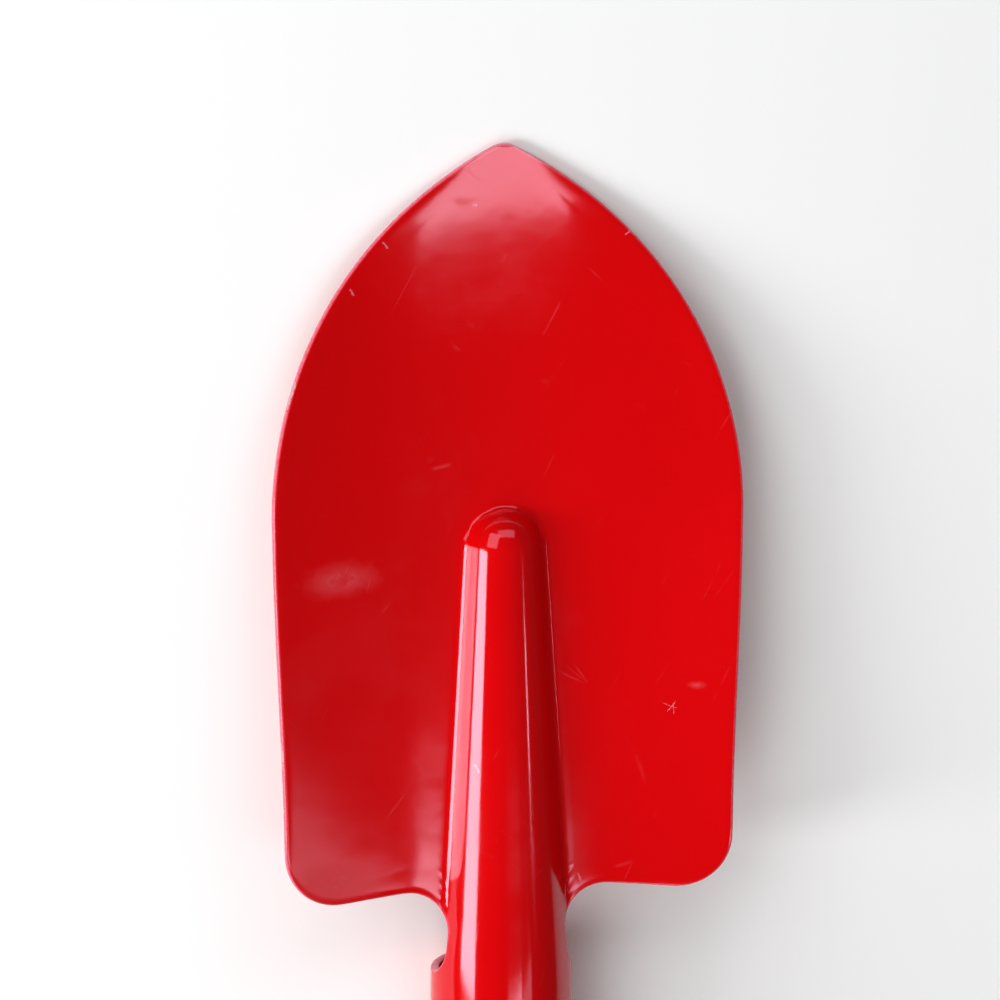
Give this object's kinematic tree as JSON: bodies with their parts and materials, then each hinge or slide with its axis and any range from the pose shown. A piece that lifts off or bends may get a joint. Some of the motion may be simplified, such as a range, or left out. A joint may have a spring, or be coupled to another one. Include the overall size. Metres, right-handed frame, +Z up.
{
  "type": "hand trowel",
  "caption": "Garden hand trowel: a red enamelled pressed steel blade whose raised rib runs into a rolled socket, riveted to a turned wooden handle with a hang hole.",
  "frame": {"origin": "on the surface the trowel rests on, under the centre of its bounding box", "axes": "+Y towards the blade's tip, +X across the blade, +Z up out of the blade's hollow front face; the trowel lies on its back, so the handle's axis rises 7 degrees towards its butt"},
  "size_m": [0.0802, 0.3032, 0.044],
  "materials": {
    "enamel": "glossy red enamel over pressed steel, lightly scratched, rims chipped pale",
    "handle_wood": "turned ash, thin satin varnish",
    "rivet_steel": "bright zinc plated steel, slightly dulled"
  },
  "bodies": {
    "root": {"blade_pressing": "enamel", "handle": "handle_wood", "handle_rivet": "rivet_steel", "rivet_burr": "rivet_steel"}
  },
  "joints": []
}
